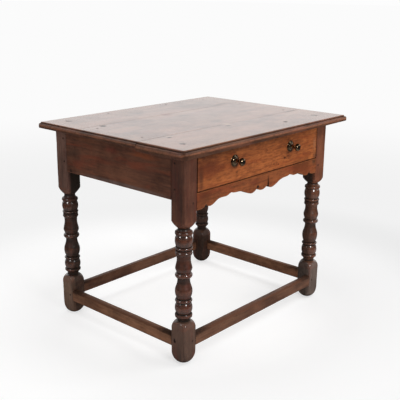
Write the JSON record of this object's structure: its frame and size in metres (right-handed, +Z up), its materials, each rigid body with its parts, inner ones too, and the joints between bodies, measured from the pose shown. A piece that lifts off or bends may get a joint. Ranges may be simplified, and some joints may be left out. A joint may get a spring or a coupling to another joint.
{
  "type": "tavern table",
  "caption": "Oak tavern table with a moulded top, turned and blocked legs, a box stretcher, a shaped front rail and a wide drawer with round brass knobs that slides out.",
  "frame": {"origin": "on the floor under the middle of the table top", "axes": "+X along the drawer front, left to right seen from the front; +Y from the drawer front to the back; +Z up"},
  "size_m": [0.881, 0.686, 0.711],
  "materials": {
    "oak_top": "worn and polished dark oak, boards along the length, glossy",
    "oak_legs": "turned oak, very dark red brown, glossy wax polish",
    "oak_rails": "dark red brown oak, satin wax polish",
    "oak_stretchers": "red brown oak, worn paler on the upper arrises",
    "oak_drawer_front": "orange brown oak with dirt in its edges, waxed",
    "oak_drawer_lining": "dry unpolished oak",
    "oak_inside": "dry unpolished oak, dusty",
    "oak_pegs": "end grain of dark oak",
    "aged_brass": "dark patinated brass, rubbed bright on the crown",
    "wrought_iron": "rusty hand made iron"
  },
  "bodies": {
    "table": {"top_board_front": "oak_top", "top_board_middle": "oak_top", "top_board_back": "oak_top", "leg_front_left": "oak_legs", "leg_front_right": "oak_legs", "leg_back_left": "oak_legs", "leg_back_right": "oak_legs", "side_rail_left": "oak_rails", "side_rail_right": "oak_rails", "back_rail": "oak_rails", "front_rail": "oak_rails", "stretcher_front": "oak_stretchers", "stretcher_back": "oak_stretchers", "stretcher_left": "oak_stretchers", "stretcher_right": "oak_stretchers", "drawer_runner_left": "oak_inside", "drawer_runner_right": "oak_inside", "drawer_guide_left": "oak_inside", "drawer_guide_right": "oak_inside", "drawer_stops": "oak_inside", "top_pegs": "oak_pegs", "rail_pegs": "oak_pegs", "stretcher_pegs": "oak_pegs", "guide_nails": "wrought_iron"},
    "drawer": {"drawer_front": "oak_drawer_front", "drawer_side_left": "oak_drawer_lining", "drawer_side_right": "oak_drawer_lining", "drawer_back": "oak_drawer_lining", "drawer_bottom_left": "oak_drawer_lining", "drawer_bottom_middle": "oak_drawer_lining", "drawer_bottom_right": "oak_drawer_lining", "drawer_nails": "wrought_iron", "knob_rose_left": "aged_brass", "knob_rose_right": "aged_brass", "knob_left": "aged_brass", "knob_right": "aged_brass", "knob_nut_left": "wrought_iron", "knob_nut_right": "wrought_iron"}
  },
  "joints": [
    {"name": "drawer_slide", "type": "slide", "parent": "table", "child": "drawer", "axis": [0, -1, 0], "range_m": [0, 0.41]}
  ]
}
